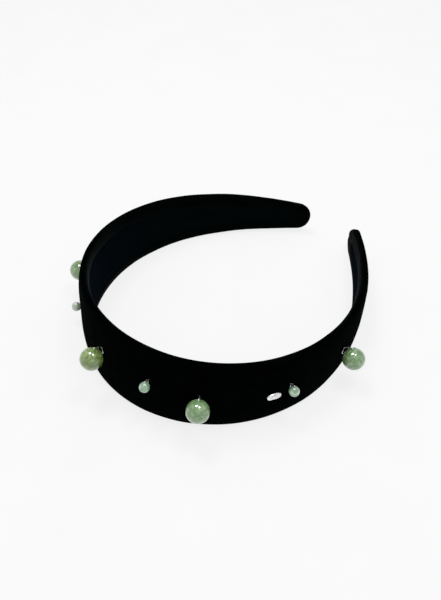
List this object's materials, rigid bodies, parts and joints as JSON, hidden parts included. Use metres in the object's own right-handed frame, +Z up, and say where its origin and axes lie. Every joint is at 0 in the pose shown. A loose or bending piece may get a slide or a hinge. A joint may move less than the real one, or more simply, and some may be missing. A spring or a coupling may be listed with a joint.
{
  "type": "beaded velvet headband",
  "caption": "Padded velvet headband that tapers to rounded tips, with jade beads hanging on wire bails on its outer face and a plain metal tag.",
  "frame": {"origin": "middle of the footprint, on the surface the headband lies on", "axes": "+Z up with the band lying on its lower edge, -Y towards the crown, +Y towards the opening between the tips, +X towards the wearer's tag side"},
  "size_m": [0.1472, 0.1644, 0.04],
  "materials": {
    "velvet": "matte",
    "foam": "matte",
    "core_plastic": "satin",
    "lining": "satin",
    "jade": "gloss",
    "silver": "polished",
    "thread": "matte"
  },
  "bodies": {
    "crown": {"velvet_cover_crown": "velvet", "foam_pad_crown": "foam", "spring_core_crown": "core_plastic", "lining_crown": "lining", "thread_loop_3": "thread", "thread_loop_4": "thread", "thread_loop_5": "thread", "thread_loop_6": "thread", "thread_loop_7": "thread"},
    "left_arm": {"velvet_cover_left_arm": "velvet", "foam_pad_left_arm": "foam", "spring_core_left_arm": "core_plastic", "lining_left_arm": "lining", "thread_loop_1": "thread", "thread_loop_2": "thread"},
    "right_arm": {"velvet_cover_right_arm": "velvet", "foam_pad_right_arm": "foam", "spring_core_right_arm": "core_plastic", "lining_right_arm": "lining", "thread_loop_8": "thread", "thread_loop_9": "thread", "metal_tag": "silver"},
    "bail_1_body": {"wire_bail_1": "silver"},
    "bead_1_body": {"bead_1": "jade"},
    "bail_2_body": {"wire_bail_2": "silver"},
    "bead_2_body": {"bead_2": "jade"},
    "bail_3_body": {"wire_bail_3": "silver"},
    "bead_3_body": {"bead_3": "jade"},
    "bail_4_body": {"wire_bail_4": "silver"},
    "bead_4_body": {"bead_4": "jade"},
    "bail_5_body": {"wire_bail_5": "silver"},
    "bead_5_body": {"bead_5": "jade"},
    "bail_6_body": {"wire_bail_6": "silver"},
    "bead_6_body": {"bead_6": "jade"},
    "bail_7_body": {"wire_bail_7": "silver"},
    "bead_7_body": {"bead_7": "jade"},
    "bail_8_body": {"wire_bail_8": "silver"},
    "bead_8_body": {"bead_8": "jade"},
    "bail_9_body": {"wire_bail_9": "silver"},
    "bead_9_body": {"bead_9": "jade"}
  },
  "joints": [
    {"name": "left_arm_flex", "type": "hinge", "parent": "crown", "child": "left_arm", "pos_m": [-0.05546, -0.03916, 0.01786], "axis": [0, 0.0671, 0.9977], "range_deg": [0, 15], "stiffness_Nm_per_rad": 1.2},
    {"name": "right_arm_flex", "type": "hinge", "parent": "crown", "child": "right_arm", "pos_m": [0.05509, -0.0392, 0.01786], "axis": [0, -0.0671, -0.9977], "range_deg": [0, 15], "stiffness_Nm_per_rad": 1.2},
    {"name": "bail_1_swing", "type": "hinge", "parent": "left_arm", "child": "bail_1_body", "pos_m": [-0.06399, 0.01079, 0.01904], "axis": [0.1947, 0.9787, -0.0659], "range_deg": [0, 65]},
    {"name": "bead_1_side_swing", "type": "hinge", "parent": "bail_1_body", "child": "bead_1_body", "pos_m": [-0.06543, 0.011, 0.01799], "axis": [-0.5626, 0.1664, 0.8098], "range_deg": [-30, 30]},
    {"name": "bail_2_swing", "type": "hinge", "parent": "left_arm", "child": "bail_2_body", "pos_m": [-0.06289, -0.02161, 0.02025], "axis": [-0.2371, 0.9693, -0.0652], "range_deg": [0, 65]},
    {"name": "bead_2_side_swing", "type": "hinge", "parent": "bail_2_body", "child": "bead_2_body", "pos_m": [-0.06388, -0.0219, 0.01955], "axis": [-0.5572, -0.0807, 0.8264], "range_deg": [-30, 30]},
    {"name": "bail_3_swing", "type": "hinge", "parent": "crown", "child": "bail_3_body", "pos_m": [-0.0542, -0.04331, 0.01847], "axis": [-0.548, 0.8346, -0.0562], "range_deg": [0, 65]},
    {"name": "bead_3_side_swing", "type": "hinge", "parent": "bail_3_body", "child": "bead_3_body", "pos_m": [-0.05543, -0.04418, 0.01749], "axis": [-0.4798, -0.2586, 0.8384], "range_deg": [-30, 30]},
    {"name": "bail_4_swing", "type": "hinge", "parent": "crown", "child": "bail_4_body", "pos_m": [-0.04194, -0.05703, 0.01121], "axis": [-0.7542, 0.6552, -0.0441], "range_deg": [0, 65]},
    {"name": "bead_4_side_swing", "type": "hinge", "parent": "bail_4_body", "child": "bead_4_body", "pos_m": [-0.04262, -0.05784, 0.01054], "axis": [-0.3767, -0.3766, 0.8463], "range_deg": [-30, 30]},
    {"name": "bail_5_swing", "type": "hinge", "parent": "crown", "child": "bail_5_body", "pos_m": [-0.00021, -0.07224, 0.02743], "axis": [-1, 0, 0], "range_deg": [0, 65]},
    {"name": "bead_5_side_swing", "type": "hinge", "parent": "bail_5_body", "child": "bead_5_body", "pos_m": [-0.00021, -0.07378, 0.0265], "axis": [0, -0.5173, 0.8558], "range_deg": [-30, 30]},
    {"name": "bail_6_swing", "type": "hinge", "parent": "crown", "child": "bail_6_body", "pos_m": [0.02455, -0.06677, 0.02489], "axis": [-0.9202, -0.3905, 0.0263], "range_deg": [0, 65]},
    {"name": "bead_6_side_swing", "type": "hinge", "parent": "bail_6_body", "child": "bead_6_body", "pos_m": [0.02495, -0.06776, 0.02424], "axis": [0.2245, -0.4716, 0.8527], "range_deg": [-30, 30]},
    {"name": "bail_7_swing", "type": "hinge", "parent": "crown", "child": "bail_7_body", "pos_m": [0.0435, -0.05527, 0.02268], "axis": [-0.7332, -0.6785, 0.0457], "range_deg": [0, 65]},
    {"name": "bead_7_side_swing", "type": "hinge", "parent": "bail_7_body", "child": "bead_7_body", "pos_m": [0.0445, -0.05642, 0.02172], "axis": [0.3901, -0.3646, 0.8455], "range_deg": [-30, 30]},
    {"name": "bail_8_swing", "type": "hinge", "parent": "right_arm", "child": "bail_8_body", "pos_m": [0.06259, -0.0217, 0.02026], "axis": [-0.2431, -0.9678, 0.0651], "range_deg": [0, 65]},
    {"name": "bead_8_side_swing", "type": "hinge", "parent": "bail_8_body", "child": "bead_8_body", "pos_m": [0.06358, -0.022, 0.01956], "axis": [0.5564, -0.0841, 0.8267], "range_deg": [-30, 30]},
    {"name": "bail_9_swing", "type": "hinge", "parent": "right_arm", "child": "bail_9_body", "pos_m": [0.06398, 0.01067, 0.01904], "axis": [0.1831, -0.9809, 0.066], "range_deg": [0, 65]},
    {"name": "bead_9_side_swing", "type": "hinge", "parent": "bail_9_body", "child": "bead_9_body", "pos_m": [0.06543, 0.01087, 0.018], "axis": [0.5639, 0.1598, 0.8103], "range_deg": [-30, 30]}
  ]
}
